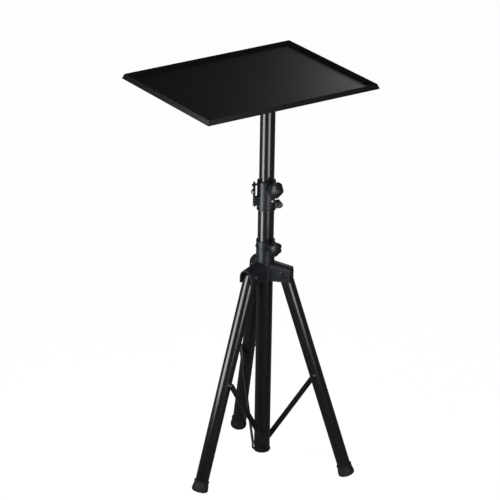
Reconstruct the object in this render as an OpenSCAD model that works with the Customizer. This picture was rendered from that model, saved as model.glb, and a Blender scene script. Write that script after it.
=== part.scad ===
// Laptop presentation stand: a folding tripod with a telescoping mast and a rimmed tray.
// The floor is z = 0, the tray's long side runs along X and its front edge faces -Y.
// The origin lies on the floor, under the middle of the stand's outline.

/* [Tray] */
// Overall width of the tray over its rims
tray_w = 368; // [320:1:420]
// Overall depth of the tray over its rims
tray_d = 289; // [250:1:330]
// Height of the tray's plate above the floor
plate_z = 772; // [740:1:800]
// Thickness of the folded sheet
sheet = 1.2; // [0.8:0.1:2]
// Height of the folded rim above the plate
rim_h = 7.8; // [5:0.1:12]
// Width of the folded rim, seen from above
rim_w = 9.5; // [8:0.1:14]
// Distance of the rim's ridge from the outline
ridge_in = 3.5; // [2:0.1:5]
// Place of the tray's middle beside the pole, left to right
tray_x = -27; // [-40:1:0]
// Place of the tray's middle beside the pole, front to back
tray_y = 18; // [0:1:30]

/* [Pole] */
// Outer diameter of the main tube
main_d = 30; // [28:0.5:34]
// Wall of the main tube
main_wall = 0.92; // [0.8:0.02:1.2]
// Gap between parts that slide or turn in each other, per side
play = 0.08; // [0.04:0.01:0.1]
// Lower end of the main tube
main_low = 33; // [31:1:34]
// Upper end of the main tube
main_top = 551; // [546:1:556]
// Length of the mast
mast_len = 420; // [400:1:440]
// Wall of the mast, legs and socket
wall = 1.2; // [1:0.1:1.6]
// Number of lock holes in the mast
lock_holes = 5; // [3:1:6]
// Distance between lock holes
lock_pitch = 27.5; // [20:0.5:30]

/* [Collars] */
// Outer diameter of both collars
collar_d = 35; // [34.5:0.1:36]
// Lower end of the mast clamp
clamp_low = 527; // [524:1:530]
// Upper end of the mast clamp
clamp_top = 584; // [582:1:586]
// Height of the mast knob's screw
mast_knob_z = 574; // [573:0.5:575]
// Upper end of the hub's collar
hub_top = 466; // [465:1:468]
// Height of the hub knob's screw
hub_knob_z = 457.5; // [456.5:0.5:458]

/* [Legs] */
// Turn of the first leg from the X axis
leg_turn = 72; // [68:1:76]
// Height of the leg bolts above the floor
pivot_z = 404; // [402:1:406]
// Distance of the leg bolts from the pole's axis
pivot_r = 38; // [37.5:0.1:38.5]
// Lean of each leg from the vertical
leg_angle = 17.8; // [16:0.1:19]
// Outer diameter of the legs
leg_d = 25; // [24.5:0.1:25.5]
// Distance from leg bolt to brace rivet
rivet_a = 209; // [200:1:216]
// Widest diameter of the rubber feet
foot_d = 31; // [29:0.2:32]
// Length of the rubber feet
foot_len = 21; // [19:1:24]

/* [Braces] */
// Height of the lower brace rivets
brace_z = 41; // [40:0.5:43]
// Width of the brace bars
bar_w = 10; // [8:0.5:10]
// Thickness of the brace bars
bar_t = 2.5; // [2:0.1:3]

/* [Hidden] */
$fn = 72;

main_r = main_d / 2;
bore_r = main_r - main_wall;
mast_r = bore_r - play;
leg_r = leg_d / 2;
collar_r = collar_d / 2;
eps = 0.01;

// Legs
leg_az = [leg_turn, leg_turn + 120, leg_turn + 240];
foot_r = foot_d / 2;
foot_round = 4;
foot_end_z = foot_round - foot_round * cos(leg_angle) + (foot_r - foot_round) * sin(leg_angle);
foot_s = (pivot_z - foot_end_z) / cos(leg_angle);
foot_floor = 4;
tube_s = foot_s - foot_floor;
foot_ring_r = pivot_r + (foot_s - foot_round) * sin(leg_angle);

// Origin: how far the feet reach to the back and to the front
function reach(a) = foot_ring_r * sin(a) + foot_round
    + (foot_r - foot_round) * sqrt(1 - pow(sin(leg_angle) * sin(a), 2));
mid_y = (reach(leg_az[0]) - reach(-leg_az[2])) / 2;

// Braces
rivet_d = 5;
rivet_r = pivot_r + rivet_a * sin(leg_angle);
rivet_z = pivot_z - rivet_a * cos(leg_angle);
brace_len = norm([rivet_r, rivet_z - brace_z]);
brace_angle = atan2(rivet_r, rivet_z - brace_z);
brace_face = main_r + 0.5;

// Hub: three arched arms
arm_wall = 2.7;
arm_in_r = leg_r + 0.4;
arm_r = arm_in_r + arm_wall;
arm_end = pivot_r + 13;
arm_slope = 12.5;
arm_axis_z = pivot_z + 8.7;
arm_low = pivot_z - 14;
arm_void = collar_r + 3.5;
rib_r = 3;
rib_at = arm_r / sin(60) - rib_r + 1;
rib_top = arm_axis_z + arm_r - 2;
dome_s = 4.2;
bolt_d = 6;
bolt_head_r = 5.2;
bolt_head_t = 3.4;
cut_far = 2 * (arm_end + arm_r);
band_low = hub_top - 13;

// Knobs
knob_az = -90;
screw_d = 6;
boss_r = 6.5;
boss_end = collar_r + 3.5;
knob_base = boss_end + 1.5;

// Mast and tray
plate_low = plate_z - sheet;
flange_t = 2.5;
flange_w = 90;
flange_low = plate_low - flange_t;
screw_at = 0.555 * flange_w;
screw_r = 2.5;
mast_cap_top = flange_low - play;
cap_t = 2;
mast_top = mast_cap_top - cap_t;
mast_low = mast_top - mast_len;
socket_r = mast_r + play + 2.4;
socket_low = flange_low - 34;

// Spring lock on the left of the mast clamp
pin_z = clamp_top - 4;
pin_r = 2;
spring_r = collar_r + 9;
spring_w = 7;
spring_t = 1;
lug_low = clamp_low + 12;
lug_top = lug_low + 17;
eye_z = pin_z - 10;
eye_x = -spring_r - spring_t - 2.6;
eye_r = 2.5;
eye_turn = 20;
eye_half = 1.3;
eye_hole = 1.4;
ring_r = 3.6;
ring_wire = 0.9;
ring_z = eye_z - eye_hole + 0.04 - sqrt(pow(ring_r - ring_wire, 2) - eye_half * eye_half);

// Split ring at the foot of the mast clamp, drawn tight by a cross bolt
ear_az = -15;
ear_at = 24;
ear_z = clamp_low + 7;
ear_r = 6.3;
cross_r = 2.6;
shield_az = 214;
stop_az = 281;
stop_z = clamp_low + 20;
stop_r = 1.5;
stop_head_r = 3;

module at_pole() {
    translate([-tray_x, -mid_y, 0])
        children();
}

module at_knob(z) {
    at_pole() translate([0, 0, z]) rotate([0, 0, knob_az]) rotate([0, 90, 0])
        children();
}

// Local frame of a leg: bolt at the origin, leg along -Z, its outer side towards +X
module at_leg(i) {
    at_pole() rotate([0, 0, leg_az[i]]) translate([pivot_r, 0, pivot_z]) rotate([0, -leg_angle, 0])
        children();
}

// Local frame of a brace: lower rivet at the origin, bar along +Z, its free side towards +Y
module at_brace(i) {
    at_pole() rotate([0, 0, leg_az[i]]) translate([0, brace_face, brace_z]) rotate([0, brace_angle, 0])
        children();
}

module tube(r, r_in, z0, z1) {
    translate([0, 0, z0])
        difference() {
            cylinder(r = r, h = z1 - z0);
            translate([0, 0, -1]) cylinder(r = r_in, h = z1 - z0 + 2);
        }
}

// Round bar along the local Y axis
module bar_y(r, y0, y1) {
    translate([0, y0, 0]) rotate([-90, 0, 0]) cylinder(r = r, h = y1 - y0);
}

// Low domed head that starts at y0 and bulges towards +Y
module rivet_head(r, y0, h) {
    ball = (r * r + h * h) / (2 * h);
    translate([0, y0, 0]) rotate([-90, 0, 0])
        intersection() {
            translate([0, 0, h - ball]) sphere(r = ball);
            cylinder(r = r, h = h);
        }
}

module main_tube() {
    color("#1b1c1e") at_pole()
        difference() {
            tube(main_r, bore_r, main_low + 2, main_top);
            for (a = leg_az) rotate([0, 0, a]) translate([0, 0, brace_z]) bar_y(rivet_d / 2, 8, 20);
        }
}

module tube_plug() {
    color("#202123") at_pole() {
        translate([0, 0, main_low]) cylinder(r = main_r, h = 2);
        translate([0, 0, main_low + 2])
            difference() {
                cylinder(r = bore_r, h = 3);
                translate([0, 0, 0.5]) cylinder(r = bore_r - 2, h = 6);
            }
    }
}

module brace_rivets() {
    color("#232527") at_pole()
        for (a = leg_az)
            rotate([0, 0, a]) translate([0, 0, brace_z]) {
                bar_y(rivet_d / 2, bore_r - 2, brace_face + bar_t + 0.3);
                rivet_head(4.5, brace_face + bar_t + 0.3, 1.6);
                difference() {
                    bar_y(4.5, bore_r - 2, brace_face - 0.1);
                    translate([0, 0, -10]) cylinder(r = main_r, h = 20);
                }
            }
}

module mast_clamp() {
    core_r = collar_r - 1.2;
    shield_low = clamp_low + 5;
    reach_out = 2 * collar_r;
    color("#2b2d30") at_pole()
        difference() {
            union() {
                translate([0, 0, clamp_low]) cylinder(r = core_r, h = clamp_top - clamp_low - 2);
                translate([0, 0, clamp_low]) cylinder(r = collar_r + 0.1, h = 3);
                // collar, whose lower edge rises steeply over the ears
                difference() {
                    translate([0, 0, shield_low - 2]) cylinder(r = collar_r, h = clamp_top - shield_low + 1);
                    rotate([0, 0, shield_az]) rotate([90, 0, 90])
                        linear_extrude(2 * reach_out, center = true)
                            polygon([
                                [0, shield_low], [reach_out, shield_low + 1.5 * reach_out],
                                [reach_out, shield_low - 10], [-reach_out, shield_low - 10],
                                [-reach_out, shield_low + 0.15 * reach_out]
                            ]);
                }
                translate([0, 0, clamp_top - 1]) cylinder(r1 = collar_r, r2 = collar_r - 0.8, h = 1);
                // ears of the split ring
                rotate([0, 0, ear_az]) {
                    translate([0, -7, clamp_low + 1.2]) cube([ear_at, 14, 11]);
                    translate([ear_at, 0, ear_z]) bar_y(ear_r, -7, 7);
                }
                // boss of the knob's screw
                translate([0, 0, mast_knob_z]) rotate([0, 0, knob_az]) rotate([0, 90, 0])
                    cylinder(r = boss_r, h = boss_end);
                // seat of the stop screw
                translate([0, 0, stop_z]) rotate([0, 0, stop_az]) rotate([0, 90, 0])
                    cylinder(r = stop_head_r + 0.6, h = core_r + 0.4);
                // lug of the spring lock
                translate([-spring_r, -spring_w / 2, lug_low])
                    cube([spring_r - main_r - 1, spring_w, lug_top - lug_low]);
            }
            translate([0, 0, clamp_low - 1]) cylinder(r = main_r, h = main_top - clamp_low + 1);
            translate([0, 0, main_top - 1]) cylinder(r = mast_r + play, h = clamp_top - main_top + 2);
            rotate([0, 0, ear_az]) {
                translate([main_r - 3, -0.8, clamp_low - 1]) cube([ear_at, 1.6, 17]);
                translate([ear_at, 0, ear_z]) bar_y(cross_r, -10, 10);
            }
            translate([0, 0, mast_knob_z]) rotate([0, 0, knob_az]) rotate([0, 90, 0])
                cylinder(r = screw_d / 2 + play, h = reach_out);
            translate([0, 0, stop_z]) rotate([0, 0, stop_az]) rotate([0, 90, 0])
                cylinder(r = stop_r, h = reach_out);
            translate([0, 0, pin_z]) rotate([0, 0, 90]) bar_y(pin_r + play, 0, reach_out);
        }
}

module clamp_bolt() {
    color("#3a3c3e") at_pole() rotate([0, 0, ear_az]) translate([ear_at, 0, ear_z]) {
        bar_y(cross_r, -7, 7);
        bar_y(cross_r + 2, -10, -7);
        translate([0, 7, 0]) rotate([-90, 0, 0]) cylinder(r = cross_r + 2.3, h = 3.2, $fn = 6);
    }
}

module collar_screw() {
    seat = collar_r - 0.8;
    color("#8d9092") at_pole() translate([0, 0, stop_z]) rotate([0, 0, stop_az - 90]) {
        bar_y(stop_r, main_r + 0.1, seat);
        bar_y(stop_head_r, seat, seat + 1);
        translate([0, seat + 1, 0]) rotate([-90, 0, 0])
            cylinder(r1 = stop_head_r, r2 = stop_head_r - 1, h = 1);
    }
}

module lock_spring() {
    leaf_x = -spring_r - spring_t;
    color("#303234") at_pole() {
        difference() {
            union() {
                translate([leaf_x, -spring_w / 2, lug_low - 1])
                    cube([spring_t, spring_w, pin_z + 4 - lug_low]);
                translate([leaf_x, 0, pin_z + 3]) rotate([0, 90, 0])
                    cylinder(r = spring_w / 2, h = spring_t);
            }
            translate([leaf_x - 5, 0, pin_z]) rotate([0, 90, 0]) cylinder(r = pin_r, h = 10);
        }
        // eye of the pull ring
        difference() {
            union() {
                translate([eye_x, 0, eye_z]) rotate([0, 90, 0]) cylinder(r = 1.7, h = leaf_x - eye_x);
                translate([eye_x, 0, eye_z]) rotate([0, 0, eye_turn]) bar_y(eye_r, -eye_half, eye_half);
            }
            translate([eye_x, 0, eye_z]) rotate([0, 0, eye_turn]) bar_y(eye_hole, -5, 5);
        }
        // rivet at its foot
        translate([leaf_x, 0, lug_low + 3]) rotate([0, 0, 90]) rivet_head(2.9, 0, 1.8);
    }
}

module lock_pin() {
    leaf_r = spring_r + spring_t;
    color("#8d9092") at_pole() translate([0, 0, pin_z]) rotate([0, 0, 90]) {
        bar_y(pin_r, mast_r + 0.3, leaf_r + 1);
        bar_y(pin_r + 0.8, leaf_r, leaf_r + 3.2);
    }
}

module pull_ring() {
    color("#8d9092") at_pole() translate([eye_x, 0, ring_z]) rotate([0, 0, eye_turn]) rotate([0, 90, 0])
        rotate_extrude() translate([ring_r, 0]) circle(r = ring_wire);
}

// Inverted U that the hub's arms and the space inside them are cut from
module arch(r, x0, x1) {
    translate([0, 0, arm_axis_z]) rotate([0, arm_slope, 0]) translate([x0, 0, 0]) rotate([90, 0, 90])
        linear_extrude(x1 - x0) {
            circle(r = r);
            translate([-r, -60]) square([2 * r, 60]);
        }
}

module leg_hub() {
    color("#2b2d30") at_pole()
        difference() {
            union() {
                translate([0, 0, arm_low + 8]) cylinder(r = collar_r - 0.2, h = band_low - arm_low - 7);
                translate([0, 0, band_low]) cylinder(r = collar_r + 0.5, h = 1.2);
                translate([0, 0, band_low + 1]) cylinder(r = collar_r, h = hub_top - band_low - 1);
                for (a = leg_az) rotate([0, 0, a]) {
                    intersection() {
                        arch(arm_r, 0, cut_far);
                        translate([0, -cut_far, arm_low - 15]) cube([arm_end, 2 * cut_far, cut_far]);
                    }
                    // rib between two arms
                    rotate([0, 0, 60]) translate([rib_at, 0, arm_low - 5])
                        cylinder(r = rib_r, h = rib_top - arm_low + 5);
                }
                translate([0, 0, hub_knob_z]) rotate([0, 0, knob_az]) rotate([0, 90, 0])
                    cylinder(r = boss_r, h = boss_end);
            }
            for (a = leg_az) rotate([0, 0, a]) {
                intersection() {
                    arch(arm_in_r, 0, cut_far);
                    translate([arm_void, -cut_far, arm_low - 20]) cube([cut_far, 2 * cut_far, cut_far]);
                }
                translate([pivot_r, 0, pivot_z]) bar_y(bolt_d / 2, -2 * arm_r, 2 * arm_r);
            }
            translate([-cut_far, -cut_far, arm_low - cut_far]) cube([2 * cut_far, 2 * cut_far, cut_far]);
            translate([0, 0, arm_low - 1]) cylinder(r = main_r + play, h = hub_top - arm_low + 2);
            translate([0, 0, hub_knob_z]) rotate([0, 0, knob_az]) rotate([0, 90, 0])
                cylinder(r = screw_d / 2 + play, h = 2 * collar_r);
        }
}

module leg_bolts() {
    color("#3a3c3e") at_pole()
        for (a = leg_az)
            rotate([0, 0, a]) translate([pivot_r, 0, pivot_z]) {
                bar_y(bolt_d / 2, -arm_r - 0.5 * bolt_head_t, arm_r + 0.3 * bolt_head_t);
                rivet_head(0.85 * bolt_head_r, arm_r, 0.76 * bolt_head_t);
                translate([0, -arm_r - bolt_head_t, 0]) rotate([-90, 0, 0])
                    cylinder(r = bolt_head_r, h = bolt_head_t, $fn = 6);
            }
}

module leg_tube(i) {
    color("#1b1c1e") at_leg(i)
        difference() {
            union() {
                translate([0, 0, -tube_s]) cylinder(r = leg_r, h = tube_s - dome_s);
                translate([0, 0, -dome_s]) sphere(r = leg_r);
            }
            translate([0, 0, -tube_s - 1]) cylinder(r = leg_r - wall, h = tube_s - 24);
            bar_y(bolt_d / 2 + play, -20, 20);
            translate([0, 0, -rivet_a]) bar_y(rivet_d / 2, -20, 20);
        }
}

module foot_cap(i) {
    neck_r = leg_r + 1.4;
    color("#26272a") at_leg(i) translate([0, 0, -foot_s])
        difference() {
            rotate_extrude()
                difference() {
                    union() {
                        polygon([
                            [0, 0], [foot_r - foot_round, 0], [foot_r, foot_round],
                            [foot_r, foot_round + 2], [neck_r, foot_len - 5],
                            [neck_r, foot_len], [0, foot_len]
                        ]);
                        translate([foot_r - foot_round, foot_round]) intersection() {
                            circle(r = foot_round);
                            translate([0, -foot_round]) square(foot_round);
                        }
                    }
                    translate([-10, -1]) square([10, foot_len + 2]);
                }
            translate([0, 0, foot_floor]) cylinder(r = leg_r, h = foot_len);
        }
}

module leg_rivet(i) {
    color("#232527") at_leg(i) translate([0, 0, -rivet_a]) {
        bar_y(rivet_d / 2, -leg_r - 0.5, brace_face - 0.4);
        difference() {
            bar_y(4.5, leg_r - 3, brace_face - 0.4);
            translate([0, 0, -10]) cylinder(r = leg_r, h = 20);
        }
        difference() {
            mirror([0, 1, 0]) rivet_head(4.5, leg_r - 0.8, 2.4);
            translate([0, 0, -10]) cylinder(r = leg_r, h = 20);
        }
    }
}

module brace(i) {
    color("#1f2022") at_brace(i)
        difference() {
            union() {
                bar_y(bar_w / 2, 0, bar_t);
                translate([-bar_w / 2, 0, 0]) cube([bar_w, bar_t, brace_len]);
                translate([0, 0, brace_len]) bar_y(bar_w / 2, 0, bar_t);
                translate([0, 0, brace_len]) rivet_head(4.5, bar_t, 1.6);
            }
            bar_y(rivet_d / 2 + play, -1, bar_t + 1);
        }
}

module mast_tube() {
    color("#1b1c1e") at_pole()
        difference() {
            tube(mast_r, mast_r - wall, mast_low, mast_top);
            for (k = [0 : lock_holes - 1])
                translate([-mast_r - 5, 0, pin_z - k * lock_pitch]) rotate([0, 90, 0])
                    cylinder(r = pin_r + 0.2, h = 12);
        }
}

module mast_cap() {
    color("#202123") at_pole() {
        translate([0, 0, mast_top]) cylinder(r = mast_r, h = cap_t);
        translate([0, 0, mast_top - 12]) cylinder(r = mast_r - wall, h = 12);
    }
}

module mast_sleeve() {
    color("#202123") at_pole()
        difference() {
            union() {
                translate([0, 0, mast_low - 2]) cylinder(r = mast_r, h = 2);
                translate([0, 0, mast_low]) cylinder(r = mast_r - wall, h = 10);
            }
            translate([0, 0, mast_low - 3]) cylinder(r = mast_r - wall - 2, h = 20);
        }
}

// Block over the tray's outline: half measures w0 at height z0 and w1 at z1 are taken off each side
module tray_block(z0, w0, z1, w1) {
    intersection() {
        rotate([90, 0, 90]) linear_extrude(tray_w + 20, center = true)
            polygon([
                [-tray_d / 2 + w0, z0], [tray_d / 2 - w0, z0],
                [tray_d / 2 - w1, z1], [-tray_d / 2 + w1, z1]
            ]);
        rotate([90, 0, 0]) linear_extrude(tray_d + 20, center = true)
            polygon([
                [-tray_w / 2 + w0, z0], [tray_w / 2 - w0, z0],
                [tray_w / 2 - w1, z1], [-tray_w / 2 + w1, z1]
            ]);
    }
}

module tray_pan() {
    run_in = (rim_w - ridge_in) / rim_h;
    run_out = ridge_in / (rim_h + sheet);
    slope_in = sheet * norm([run_in, 1]);
    slope_out = sheet * norm([run_out, 1]);
    below = 2;
    above = 1;
    color("#17181a") at_pole() translate([tray_x, tray_y, plate_z])
        difference() {
            tray_block(-sheet, 0, rim_h, ridge_in);
            tray_block(0, rim_w, rim_h + above, ridge_in - run_in * above);
            // hollow under the rims: all inside the skirt, less the sheet under the recess
            difference() {
                tray_block(-sheet - below, slope_out - run_out * below, rim_h, slope_out + ridge_in);
                tray_block(-sheet - 2 * below, rim_w + run_in * (sheet + 2 * below) - slope_in,
                    rim_h + above, ridge_in - run_in * above - slope_in);
            }
        }
}

module tray_flange() {
    color("#202123") at_pole()
        difference() {
            translate([-flange_w / 2, -flange_w / 2, flange_low]) cube([flange_w, flange_w, flange_t]);
            for (a = [45 : 90 : 315])
                rotate([0, 0, a]) translate([screw_at, 0, flange_low - 1])
                    cylinder(r = screw_r, h = flange_t + 2);
        }
}

module tray_socket() {
    color("#202123") at_pole()
        tube(socket_r, mast_r + play, socket_low, flange_low);
}

module tray_screws() {
    color("#3a3c3e") at_pole()
        for (a = [45 : 90 : 315])
            rotate([0, 0, a]) translate([screw_at, 0, flange_low]) {
                cylinder(r = screw_r, h = flange_t);
                rotate([-90, 0, 0]) rivet_head(1.7 * screw_r, 0, 0.9 * screw_r);
            }
}

// Knob along +Z: neck, lobed grip under a domed face, shallow round recess
module knob_form(lobes, d, lobe_r, valley) {
    top = knob_base + 16;
    lobe_at = d / 2 - lobe_r;
    flat_r = (lobe_at * cos(180 / lobes) + lobe_r - valley) / cos(180 / lobes);
    difference() {
        union() {
            translate([0, 0, knob_base]) cylinder(r1 = 7, r2 = 8.5, h = 5);
            intersection() {
                translate([0, 0, knob_base + 4]) linear_extrude(20) {
                    intersection() {
                        circle(r = flat_r, $fn = lobes);
                        circle(r = d / 2 - 1);
                    }
                    for (k = [0 : lobes - 1])
                        rotate(k * 360 / lobes) translate([lobe_at, 0]) circle(r = lobe_r);
                }
                translate([0, 0, top - d * 0.9]) sphere(r = d * 0.9);
            }
        }
        translate([0, 0, knob_base - 1]) cylinder(r = screw_d / 2, h = 11);
        translate([0, 0, top - 1.2]) cylinder(r = 4.5, h = 5);
    }
}

module knob_screw(tip) {
    translate([0, 0, tip]) cylinder(r = screw_d / 2, h = knob_base + 10 - tip);
}

module mast_knob() {
    color("#2b2d30") at_knob(mast_knob_z) knob_form(5, 31, 5, 0.8);
}

module mast_knob_screw() {
    color("#8d9092") at_knob(mast_knob_z) knob_screw(mast_r + 0.3);
}

module hub_knob() {
    color("#2b2d30") at_knob(hub_knob_z) knob_form(6, 28, 4, 2.2);
}

module hub_knob_screw() {
    color("#8d9092") at_knob(hub_knob_z) knob_screw(main_r + 0.3);
}

main_tube();
tube_plug();
brace_rivets();
mast_clamp();
clamp_bolt();
lock_spring();
lock_pin();
pull_ring();
collar_screw();
leg_hub();
leg_bolts();
leg_tube(0);  // leg_tube_1
leg_tube(1);  // leg_tube_2
leg_tube(2);  // leg_tube_3
foot_cap(0);  // foot_cap_1
foot_cap(1);  // foot_cap_2
foot_cap(2);  // foot_cap_3
leg_rivet(0);  // leg_rivet_1
leg_rivet(1);  // leg_rivet_2
leg_rivet(2);  // leg_rivet_3
brace(0);  // brace_1
brace(1);  // brace_2
brace(2);  // brace_3
mast_tube();
mast_cap();
mast_sleeve();
tray_pan();
tray_flange();
tray_socket();
tray_screws();
mast_knob();
mast_knob_screw();
hub_knob();
hub_knob_screw();
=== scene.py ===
"""Laptop presentation stand: finishes, small fittings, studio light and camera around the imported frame."""
import bpy
import math
from mathutils import Matrix, Vector


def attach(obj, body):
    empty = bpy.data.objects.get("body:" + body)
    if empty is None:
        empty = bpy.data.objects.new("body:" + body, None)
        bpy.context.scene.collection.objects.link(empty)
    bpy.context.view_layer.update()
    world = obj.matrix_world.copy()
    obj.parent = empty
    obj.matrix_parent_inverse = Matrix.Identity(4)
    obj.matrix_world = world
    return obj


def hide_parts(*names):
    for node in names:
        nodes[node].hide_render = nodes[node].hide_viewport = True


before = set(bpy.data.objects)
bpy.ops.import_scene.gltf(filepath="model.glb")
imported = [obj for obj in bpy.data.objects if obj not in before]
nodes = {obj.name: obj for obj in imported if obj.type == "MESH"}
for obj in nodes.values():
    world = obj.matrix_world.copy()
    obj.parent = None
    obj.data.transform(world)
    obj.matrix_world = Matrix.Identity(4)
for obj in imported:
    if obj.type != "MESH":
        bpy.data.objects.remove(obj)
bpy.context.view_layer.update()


# Main tube: the fixed lower half of the pole, a round steel tube with a gloss black powder coat.
# Its lower end is closed by a moulded plug and carries the three rivets of the braces.
class Value:
    """A value inside a finish that can be added, multiplied and compared like a number."""

    def __init__(self, finish, socket):
        self.finish = finish
        self.socket = socket

    def math(self, operation, first, second):
        return self.finish.node("ShaderNodeMath", {"operation": operation}, {0: first, 1: second})

    def __add__(self, other):
        return self.math("ADD", self, other)

    __radd__ = __add__

    def __sub__(self, other):
        return self.math("SUBTRACT", self, other)

    def __rsub__(self, other):
        return self.math("SUBTRACT", other, self)

    def __mul__(self, other):
        return self.math("MULTIPLY", self, other)

    def __pow__(self, other):
        return self.math("POWER", self, other)

    def __gt__(self, other):
        return self.math("GREATER_THAN", self, other)

    def __lt__(self, other):
        return self.math("LESS_THAN", self, other)

    def __abs__(self):
        return self.math("ABSOLUTE", self, 0.0)


class Finish:
    """One procedural surface, built on the piece's own Object coordinates."""

    def __init__(self, name, **constants):
        self.material = bpy.data.materials.new(name)
        self.material.use_nodes = True
        self.tree = self.material.node_tree
        self.shader = self.tree.nodes["Principled BSDF"]
        for socket, value in constants.items():
            self.shader.inputs[socket.replace("_", " ")].default_value = value
        self.place = self.node("ShaderNodeTexCoord", {}, {}, "Object")

    def node(self, kind, settings, inputs, output=0):
        """Adds one node: its settings first, then a value or a link for each socket."""
        made = self.tree.nodes.new(kind)
        for name, value in settings.items():
            setattr(made, name, value)
        for key, value in inputs.items():
            if isinstance(value, Value):
                self.tree.links.new(value.socket, made.inputs[key])
            else:
                made.inputs[key].default_value = value
        return Value(self, made.outputs[output])

    def noise(self, scale, detail=2.0, roughness=0.5, stretch=(1, 1, 1)):
        """Cloudy value from 0 to 1, with about scale clouds in a metre."""
        at = self.node("ShaderNodeMapping", {}, {"Vector": self.place, "Scale": stretch})
        return self.node("ShaderNodeTexNoise", {}, {
            "Vector": at, "Scale": scale, "Detail": detail, "Roughness": roughness})

    def mix(self, factor, first, second):
        return self.node("ShaderNodeMix", {"data_type": "RGBA"}, {0: factor, 6: first, 7: second}, 2)

    def feed(self, socket, value):
        self.tree.links.new(value.socket, self.shader.inputs[socket])

    def bump(self, height, depth, strength=1.0):
        self.feed("Normal", self.node("ShaderNodeBump", {}, {
            "Height": height, "Distance": depth, "Strength": strength}))


def clad(finish, *names):
    """Gives solids of the frame their finish."""
    for name in names:
        nodes[name].data.materials.clear()
        nodes[name].data.materials.append(finish.material)


def powder_coat(name, colour, dusty, roughness, gloss, peel):
    """Sprayed and baked paint: orange peel, faint dust and hairline rubs."""
    coat = Finish(name, IOR=1.5, Specular_IOR_Level=gloss)
    blotch = coat.noise(9.0, 3.0, 0.6)
    rubs = coat.noise(60.0, 4.0, 0.65, stretch=(1.0, 1.0, 0.12))
    specks = coat.noise(1900.0, 1.0)
    coat.feed("Base Color", coat.mix(blotch * 0.9 + specks * 0.1, (*colour, 1), (*dusty, 1)))
    coat.feed("Roughness", roughness + (blotch - 0.5) * 0.08 + (rubs - 0.5) * 0.05)
    coat.bump(coat.noise(peel, 2.0, 0.5), 0.00004, 0.05)
    return coat


tube_paint = powder_coat(
    "gloss_black_powder_coat", colour=(0.0024, 0.0024, 0.0021), dusty=(0.0058, 0.0058, 0.0052),
    roughness=0.22, gloss=0.5, peel=420.0)
clad(tube_paint, "main_tube")


# Plug and brace rivets: a black nylon plug closes the tube, and black-oxide steel rivets hold the
# braces to it.
def moulded_plastic(name, colour, worn, roughness):
    """Injection-moulded nylon: fine spark-eroded grain, slightly worn towards grey."""
    part = Finish(name, IOR=1.5, Specular_IOR_Level=0.36)
    cloud = part.noise(30.0, 3.0, 0.6)
    grain = part.noise(2600.0, 2.0, 0.7)
    part.feed("Base Color", part.mix(cloud * 0.6 + grain * 0.4, (*colour, 1), (*worn, 1)))
    part.feed("Roughness", roughness + (cloud - 0.5) * 0.12 + (grain - 0.5) * 0.10)
    part.bump(grain, 0.00004, 0.3)
    return part


def fastener_steel(name, colour, rubbed, roughness, metallic):
    """Turned or headed steel with fine tool marks and rubbed high spots."""
    part = Finish(name, Metallic=metallic)
    marks = part.noise(700.0, 3.0, 0.6, stretch=(1, 1, 0.2))
    stain = part.noise(160.0, 3.0, 0.6)
    part.feed("Base Color", part.mix(stain, (*colour, 1), (*rubbed, 1)))
    part.feed("Roughness", roughness + (marks - 0.5) * 0.2)
    part.bump(marks, 0.00004, 0.3)
    return part


# This black nylon also colours the dark crosses on the screw faces, where its black is painted shade for the
# slots.
nylon_and_slot_shade = moulded_plastic(
    "black_nylon_plug_and_painted_slot_shade", colour=(0.010, 0.010, 0.011), worn=(0.02, 0.02, 0.022), roughness=0.5)
black_oxide = fastener_steel(
    "black_oxide_steel", colour=(0.012, 0.012, 0.013), rubbed=(0.045, 0.045, 0.047),
    roughness=0.34, metallic=0.8)
clad(nylon_and_slot_shade, "tube_plug")
clad(black_oxide, "brace_rivets")


# Leg hub: a glass-filled nylon moulding that slides on the main tube and holds the three legs under
# arched arms. Black bolts cross each arm.
hub_nylon = moulded_plastic(
    "satin_blue_black_nylon", colour=(0.0024, 0.0030, 0.0044), worn=(0.0068, 0.0082, 0.0112), roughness=0.38)
POLE = Vector((0.027, -0.017086, 0.0))
LEG_TURNS = (72, 192, 312)
LEG_BOLT_OUT = 0.038
LEG_BOLT_HEIGHT = 0.404
WASHER_SIDE = 0.0159
COLLAR_LIP_HEIGHT = 0.4532


def soften(name, body, finish, width):
    """A finer copy of a moulding that stands for its node, with its crisp edges rounded."""
    bpy.ops.object.select_all(action="DESELECT")
    piece = bpy.data.objects.new(name + "_moulding", nodes[name].data.copy())
    bpy.context.scene.collection.objects.link(piece)
    piece.select_set(True)
    bpy.context.view_layer.objects.active = piece
    bpy.ops.object.mode_set(mode="EDIT")
    bpy.ops.mesh.select_all(action="SELECT")
    bpy.ops.mesh.remove_doubles(threshold=0.00002)
    bpy.ops.mesh.dissolve_limited(angle_limit=math.radians(0.8))
    bpy.ops.mesh.select_all(action="DESELECT")
    bpy.ops.object.mode_set(mode="OBJECT")
    rounding = piece.modifiers.new("rounding", "BEVEL")
    rounding.width = width
    rounding.segments = 2
    rounding.limit_method = "ANGLE"
    rounding.angle_limit = math.radians(32)
    bpy.ops.object.modifier_apply(modifier=rounding.name)
    bpy.ops.object.shade_smooth_by_angle(angle=math.radians(40))
    evening = piece.modifiers.new("evening", "WEIGHTED_NORMAL")
    evening.keep_sharp = True
    bpy.ops.object.modifier_apply(modifier=evening.name)
    piece.data.materials.clear()
    piece.data.materials.append(finish.material)
    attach(piece, body)
    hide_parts(name)


def about_pole(turn, out, height, side=0.0):
    """Frame that stands beside the pole: turned about it, then moved out and sideways."""
    return (Matrix.Translation(POLE) @ Matrix.Rotation(math.radians(turn), 4, "Z")
            @ Matrix.Translation((out, side, height)))


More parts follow.
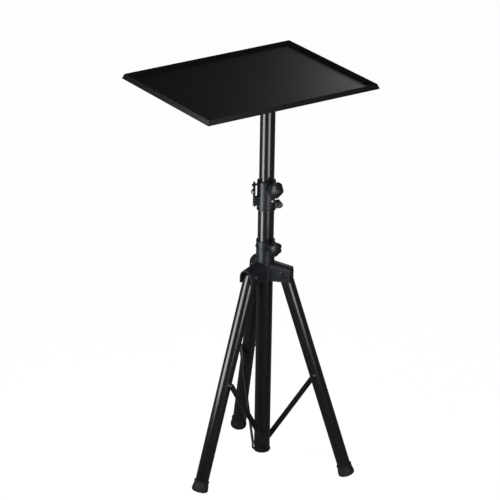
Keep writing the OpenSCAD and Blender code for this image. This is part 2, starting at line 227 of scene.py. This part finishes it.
def settle(name, spots, finish, body):
    """Copies the piece just modelled to its places, as one mesh that rides on a body."""
    model = bpy.context.object
    copies = []
    for spot in spots:
        copy = bpy.data.objects.new(name, model.data.copy())
        bpy.context.scene.collection.objects.link(copy)
        copy.matrix_world = spot
        copies.append(copy)
    bpy.data.objects.remove(model)
    bpy.ops.object.select_all(action="DESELECT")
    for copy in copies:
        copy.select_set(True)
    piece = copies[0]
    bpy.context.view_layer.objects.active = piece
    if len(copies) > 1:
        bpy.ops.object.join()
    bpy.ops.object.transform_apply(location=True, rotation=True, scale=True)
    bpy.ops.object.shade_smooth_by_angle(angle=math.radians(35))
    piece.name = name
    piece.data.materials.append(finish.material)
    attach(piece, body)


def bead(ring, wire, squash):
    """A rounded ring about the origin, flattened along its axis."""
    bpy.ops.object.select_all(action="DESELECT")
    bpy.ops.mesh.primitive_torus_add(
        major_segments=72, minor_segments=12, major_radius=ring, minor_radius=wire)
    bpy.ops.object.mode_set(mode="EDIT")
    bpy.ops.mesh.select_all(action="SELECT")
    bpy.ops.transform.resize(value=(1, 1, squash), center_override=(0, 0, 0))
    bpy.ops.object.mode_set(mode="OBJECT")


soften("leg_hub", "hub", hub_nylon, width=0.0007)
clad(black_oxide, "leg_bolts")

across = Matrix.Rotation(math.radians(90), 4, "X")
washer_places = [
    about_pole(turn, LEG_BOLT_OUT, LEG_BOLT_HEIGHT, side) @ across
    for turn in LEG_TURNS for side in (-WASHER_SIDE, WASHER_SIDE)]
bead(ring=0.0051, wire=0.0021, squash=0.22)
settle("leg_bolt_washers", washer_places, black_oxide, "hub")
bead(ring=0.0179, wire=0.0011, squash=0.8)
settle("hub_collar_lip", [about_pole(0, 0, COLLAR_LIP_HEIGHT)], hub_nylon, "hub")


# Legs: three painted steel tubes that turn on the hub's bolts. A rivet in each holds its brace, and
# a moulded rubber foot is pushed over its end.
def foot_rubber(name):
    """Moulded rubber: fine pores, and floor dust in clouds."""
    rubber = Finish(name, IOR=1.5, Specular_IOR_Level=0.25)
    dust = rubber.noise(45.0, 4.0, 0.7)
    pores = rubber.noise(3000.0, 2.0, 0.7)
    clean = (0.004, 0.004, 0.004, 1)
    dusty = (0.015, 0.0147, 0.0140, 1)
    rubber.feed("Base Color", rubber.mix(dust ** 1.6, clean, dusty))
    rubber.feed("Roughness", 0.66 + (pores - 0.5) * 0.2)
    rubber.bump(pores, 0.00005, 0.4)
    return rubber


rubber = foot_rubber("matt_black_rubber")
LEG_LEAN = 17.8
BOLT_TO_FOOT_CAP = 0.4
for leg, turn in zip(("1", "2", "3"), LEG_TURNS):
    clad(tube_paint, "leg_tube_" + leg)
    clad(black_oxide, "leg_rivet_" + leg)
    clad(rubber, "foot_cap_" + leg)
    lean = Matrix.Rotation(math.radians(-LEG_LEAN), 4, "Y")
    to_foot_cap = Matrix.Translation((0, 0, -BOLT_TO_FOOT_CAP))
    cap_edge = about_pole(turn, LEG_BOLT_OUT, LEG_BOLT_HEIGHT) @ lean @ to_foot_cap
    bead(ring=0.0136, wire=0.0010, squash=0.9)
    settle("foot_bead_" + leg, [cap_edge], rubber, "leg_" + leg)


# Braces: three flat steel bars that hold the legs apart, painted like the tubes. Each is riveted to
# the foot of the main tube and to its leg.
clad(tube_paint, "brace_1", "brace_2", "brace_3")


# Mast clamp: the moulded collar at the top of the main tube, with a cross bolt, a leaf-spring lock,
# its pin and a wire ring to pull it by.
zinc = fastener_steel(
    "zinc_plated_steel", colour=(0.62, 0.62, 0.60), rubbed=(0.80, 0.80, 0.78),
    roughness=0.38, metallic=1.0)
soften("mast_clamp", "column", hub_nylon, width=0.0006)
clad(black_oxide, "clamp_bolt")
spring_steel = fastener_steel(
    "blued_spring_steel", colour=(0.018, 0.018, 0.020), rubbed=(0.05, 0.05, 0.054),
    roughness=0.32, metallic=0.8)
clad(spring_steel, "lock_spring", "lock_pin", "pull_ring")
clad(zinc, "collar_screw")


def painted_slot_shade(reach, width, depth):
    """The dark cross of a driver's slot, pulled out of a small block on its four sides. It is set on the
    screw's face, and its dark finish is painted shade for the slot's recess.
    """
    bpy.ops.object.select_all(action="DESELECT")
    bpy.ops.mesh.primitive_cube_add(size=1)
    block = bpy.context.object
    bpy.ops.object.mode_set(mode="EDIT")
    bpy.ops.mesh.select_all(action="SELECT")
    bpy.ops.transform.resize(value=(width, width, depth), center_override=(0, 0, 0))
    for x, y in ((1, 0), (-1, 0), (0, 1), (0, -1)):
        bpy.ops.mesh.select_all(action="DESELECT")
        bpy.ops.object.mode_set(mode="OBJECT")
        for face in block.data.polygons:
            turned_there = face.normal.x * x + face.normal.y * y > 0.9
            off_middle = abs(face.center.x * y + face.center.y * x)
            face.select = turned_there and off_middle < width / 4
        bpy.ops.object.mode_set(mode="EDIT")
        bpy.ops.mesh.select_mode(type="FACE")
        bpy.ops.mesh.extrude_region_move(TRANSFORM_OT_translate={"value": (x * reach, y * reach, 0)})
    bpy.ops.object.mode_set(mode="OBJECT")


outwards = Matrix.Rotation(math.radians(90), 4, "Y")
STOP_SCREW_TURN = 281
STOP_SCREW_FACE = 0.0184
STOP_SCREW_HEIGHT = 0.547
screw_face = about_pole(STOP_SCREW_TURN, STOP_SCREW_FACE, STOP_SCREW_HEIGHT) @ outwards
# The stop screw's slot is painted shade: a dark cross set on its zinc face.
painted_slot_shade(reach=0.0013, width=0.0006, depth=0.0008)
settle("stop_screw_painted_slot_shade", [screw_face], nylon_and_slot_shade, "column")


# Mast: the painted inner tube that carries the tray. A nylon cap closes its top, and a nylon sleeve
# at its lower end keeps it from rattling in the main tube.
clad(tube_paint, "mast_tube")
clad(nylon_and_slot_shade, "mast_cap", "mast_sleeve")


# Tray: a pressed steel pan with folded rims, screwed to a flange that is welded to a socket, all in
# satin black powder coat. The socket turns on the mast.
TRAY_HALF_WIDTH = 0.184
TRAY_HALF_DEPTH = 0.1445
TRAY_MIDDLE_Y = 0.000914
RIM_WIDTH = 0.0096
RIM_RIDGE_HEIGHT = 0.7793
MITRE_HALF_WIDTH = 0.00035
SATIN_BLACK = (0.0018, 0.0018, 0.0014)
SATIN_PEEL = 520.0


def satin_coat(name):
    return powder_coat(
        name, colour=SATIN_BLACK, dusty=(0.0045, 0.0045, 0.0038), roughness=0.46, gloss=0.25, peel=SATIN_PEEL)


tray_paint = satin_coat("satin_black_powder_coat")
clad(tray_paint, "tray_flange", "tray_socket")

# The pan's own coat also shows the mitred corners of the rims and their rubbed ridge.
seamed_paint = satin_coat("satin_black_powder_coat_on_folded_sheet")
sheet_x, sheet_y, sheet_z = (
    seamed_paint.node("ShaderNodeSeparateXYZ", {}, {"Vector": seamed_paint.place}, axis) for axis in range(3))
from_end = TRAY_HALF_WIDTH - abs(sheet_x)
from_front = TRAY_HALF_DEPTH - abs(sheet_y - TRAY_MIDDLE_Y)
mitre = (abs(from_end - from_front) < MITRE_HALF_WIDTH) * (from_end < RIM_WIDTH)
ridge = (sheet_z > RIM_RIDGE_HEIGHT) * (seamed_paint.noise(70.0, 4.0, 0.7) > 0.52)
orange_peel = seamed_paint.noise(SATIN_PEEL, 2.0, 0.5)
seamed_paint.bump(orange_peel * 0.03 - mitre, 0.0004, 0.5)
clouds = seamed_paint.noise(9.0, 3.0, 0.6)
sheet_paint = seamed_paint.mix(clouds, (*SATIN_BLACK, 1), (0.0048, 0.0048, 0.0040, 1))
seamed_paint.feed("Base Color", seamed_paint.mix(ridge * 0.6, sheet_paint, (0.018, 0.018, 0.017, 1)))
clad(seamed_paint, "tray_pan")

SCREW_RING = 0.04995
SCREW_FACE = 0.7664
clad(black_oxide, "tray_screws")
screw_faces = [about_pole(turn, SCREW_RING, SCREW_FACE) for turn in (45, 135, 225, 315)]
# The tray screws' slots are painted shade as well: dark crosses set on their faces.
painted_slot_shade(reach=0.0019, width=0.0009, depth=0.0010)
settle("tray_screw_painted_slot_shades", screw_faces, nylon_and_slot_shade, "tray")

# The weld between flange and socket is a ring of overlapping scales, one spun round the pole.
WELD_HEIGHT = 0.7677
WELD_RING = 0.01698
WELD_SCALES = 44
bpy.ops.object.select_all(action="DESELECT")
bpy.ops.mesh.primitive_uv_sphere_add(segments=16, ring_count=10, radius=0.0019)
bpy.ops.object.mode_set(mode="EDIT")
bpy.ops.mesh.select_all(action="SELECT")
bpy.ops.transform.resize(value=(1.0, 1.25, 0.8), center_override=(0, 0, 0))
bpy.ops.transform.rotate(value=math.radians(30), orient_axis="Y", center_override=(0, 0, 0))
bpy.ops.transform.translate(value=(WELD_RING, 0, 0))
bpy.ops.mesh.spin(steps=WELD_SCALES, dupli=True, angle=math.radians(360), center=(0, 0, 0), axis=(0, 0, 1))
bpy.ops.mesh.select_all(action="SELECT")
bpy.ops.mesh.remove_doubles(threshold=0.00001)
bpy.ops.object.mode_set(mode="OBJECT")
settle("socket_weld", [about_pole(0, 0, WELD_HEIGHT)], tray_paint, "tray")


# Knobs: star knobs in the hub's nylon, moulded on zinc-plated steel screws. One clamps the mast and
# the other the hub.
FRONT = -90
MAST_KNOB_HEIGHT = 0.574
MAST_KNOB_FACE = 0.0381
HUB_KNOB_HEIGHT = 0.4575
HUB_KNOB_FACE = 0.0372
soften("mast_knob", "mast_knob", hub_nylon, width=0.0012)
soften("hub_knob", "hub_knob", hub_nylon, width=0.0010)
clad(zinc, "mast_knob_screw", "hub_knob_screw")


def face_disc(radius, height, rim, dish):
    """A turned or moulded disc: broken edge, and a shallow dish inside its rim."""
    bpy.ops.object.select_all(action="DESELECT")
    bpy.ops.mesh.primitive_cylinder_add(vertices=48, radius=radius, depth=height)
    disc = bpy.context.object
    bpy.ops.object.mode_set(mode="EDIT")
    bpy.ops.mesh.select_all(action="DESELECT")
    bpy.ops.object.mode_set(mode="OBJECT")
    for face in disc.data.polygons:
        face.select = face.normal.z > 0.9
    bpy.ops.object.mode_set(mode="EDIT")
    bpy.ops.mesh.select_mode(type="FACE")
    bpy.ops.mesh.bevel(offset=0.0003, segments=2, affect="EDGES")
    bpy.ops.mesh.inset(thickness=rim, depth=0)
    bpy.ops.mesh.inset(thickness=dish, depth=-dish)
    bpy.ops.object.mode_set(mode="OBJECT")


mast_knob_face = about_pole(FRONT, MAST_KNOB_FACE, MAST_KNOB_HEIGHT) @ outwards
face_disc(radius=0.0042, height=0.0018, rim=0.0008, dish=0.0004)
settle("mast_knob_cap", [mast_knob_face], nylon_and_slot_shade, "mast_knob")
hub_knob_face = about_pole(FRONT, HUB_KNOB_FACE, HUB_KNOB_HEIGHT) @ outwards
face_disc(radius=0.0026, height=0.0030, rim=0.0006, dish=0.0002)
settle("hub_knob_stud", [hub_knob_face], black_oxide, "hub_knob")


# Floor and backdrop: a sweep of white paper that looks white to the camera and dim to the black
# paint, as in the photograph, and keeps a faint shadow.
def white_surround(tree, unlit, kind, output, shadow, paint_sees):
    """Shows white to the camera and a dim white to reflections, over a surface that takes the light."""
    tree.nodes.clear()
    ray = tree.nodes.new("ShaderNodeLightPath")
    white = tree.nodes.new(kind)
    white.inputs["Color"].default_value = (1, 1, 1, 1)
    bright = tree.nodes.new("ShaderNodeMapRange")
    bright.inputs["To Min"].default_value = paint_sees
    bright.inputs["To Max"].default_value = 1.0 + shadow / 2
    tree.links.new(ray.outputs["Is Camera Ray"], bright.inputs["Value"])
    tree.links.new(bright.outputs[0], white.inputs["Strength"])
    through = tree.nodes.new("ShaderNodeMath")
    tree.links.new(ray.outputs["Is Glossy Ray"], through.inputs[0])
    tree.links.new(ray.outputs["Is Transmission Ray"], through.inputs[1])
    share = tree.nodes.new("ShaderNodeMath")
    share.operation = "MULTIPLY_ADD"
    share.use_clamp = True
    share.inputs[1].default_value = 1.0 - shadow
    tree.links.new(ray.outputs["Is Camera Ray"], share.inputs[0])
    tree.links.new(through.outputs[0], share.inputs[2])
    lit = tree.nodes.new(unlit)
    seen = tree.nodes.new("ShaderNodeMixShader")
    out = tree.nodes.new(output)
    tree.links.new(share.outputs[0], seen.inputs[0])
    tree.links.new(lit.outputs[0], seen.inputs[1])
    tree.links.new(white.outputs[0], seen.inputs[2])
    tree.links.new(seen.outputs[0], out.inputs["Surface"])
    return lit


bpy.ops.object.select_all(action="DESELECT")
bpy.ops.mesh.primitive_plane_add(size=30)
floor = bpy.context.object
floor.name = "studio_floor"
paper = bpy.data.materials.new("white_floor")
paper.use_nodes = True
floor.data.materials.append(paper)
lit_paper = white_surround(
    paper.node_tree, "ShaderNodeBsdfDiffuse", "ShaderNodeEmission", "ShaderNodeOutputMaterial",
    shadow=0.05, paint_sees=0.12)
lit_paper.inputs["Color"].default_value = (0.8, 0.8, 0.8, 1)

world = bpy.data.worlds.new("studio")
world.use_nodes = True
bpy.context.scene.world = world
fill = white_surround(
    world.node_tree, "ShaderNodeBackground", "ShaderNodeBackground", "ShaderNodeOutputWorld",
    shadow=0.0, paint_sees=0.04)
fill.inputs["Strength"].default_value = 0.30


# Camera: a long lens from the front left, looking down on the stand. Its sensor width and its focal
# length in pixels of the picture give the lens.
TURN = math.radians(33.97)
TILT = math.radians(23.02)
ROLL = math.radians(0.925)
DISTANCE = 5.610
AIM_HEIGHT = 0.4
AIM_LEFT = 0.02843
AIM_ABOVE = 0.04058
FOCAL_PIXELS = 3025
PICTURE_PIXELS = 500
SENSOR = 36.0
ahead = Vector((math.sin(TURN) * math.cos(TILT), math.cos(TURN) * math.cos(TILT), -math.sin(TILT)))
level = Vector((math.cos(TURN), -math.sin(TURN), 0.0))
over = level.cross(ahead)
right = math.cos(ROLL) * level + math.sin(ROLL) * over
up = math.cos(ROLL) * over - math.sin(ROLL) * level
camera_data = bpy.data.cameras.new("camera")
camera_data.sensor_fit = "HORIZONTAL"
camera_data.sensor_width = SENSOR
camera_data.lens = FOCAL_PIXELS / PICTURE_PIXELS * SENSOR
camera_data.clip_end = 60.0
camera = bpy.data.objects.new("camera", camera_data)
eye = POLE + Vector((0, 0, AIM_HEIGHT)) - ahead * DISTANCE - level * AIM_LEFT + over * AIM_ABOVE
camera.matrix_world = Matrix((
    (right.x, up.x, -ahead.x, eye.x), (right.y, up.y, -ahead.y, eye.y),
    (right.z, up.z, -ahead.z, eye.z), (0, 0, 0, 1)))
bpy.context.scene.collection.objects.link(camera)
bpy.context.scene.camera = camera


# Lights: two strip boxes that draw the lines along the tubes, a wide box overhead and a small one
# behind.
HIGHEST_AIM = 0.7


def softbox(name, bearing, distance, height, size, power, tint=(1.0, 1.0, 1.0)):
    """An area light that faces the pole; bearing is in degrees to the right of the camera."""
    lamp = bpy.data.lights.new(name, "AREA")
    lamp.shape = "RECTANGLE"
    lamp.size, lamp.size_y = size
    lamp.energy = power
    lamp.color = tint
    box = bpy.data.objects.new(name, lamp)
    towards = Matrix.Rotation(math.radians(bearing), 3, "Z") @ Vector((-ahead.x, -ahead.y, 0)).normalized()
    box.location = POLE + towards * distance + Vector((0, 0, height))
    aim = POLE + Vector((0, 0, min(height, HIGHEST_AIM))) - box.location
    box.rotation_euler = aim.to_track_quat("-Z", "Y").to_euler()
    box.visible_camera = False
    bpy.context.scene.collection.objects.link(box)


softbox("strip_left", bearing=-57, distance=0.52, height=0.54, size=(0.26, 0.66),
        power=5.8, tint=(0.93, 0.97, 1.0))
softbox("strip_right", bearing=29, distance=0.80, height=0.57, size=(0.34, 0.70),
        power=6.2, tint=(0.98, 0.99, 1.0))
softbox("overhead", bearing=-20, distance=1.2, height=2.4, size=(1.6, 1.6), power=13)
softbox("behind_right", bearing=155, distance=1.05, height=1.2, size=(0.6, 0.4), power=2.2)

bpy.context.scene.view_settings.view_transform = "Standard"
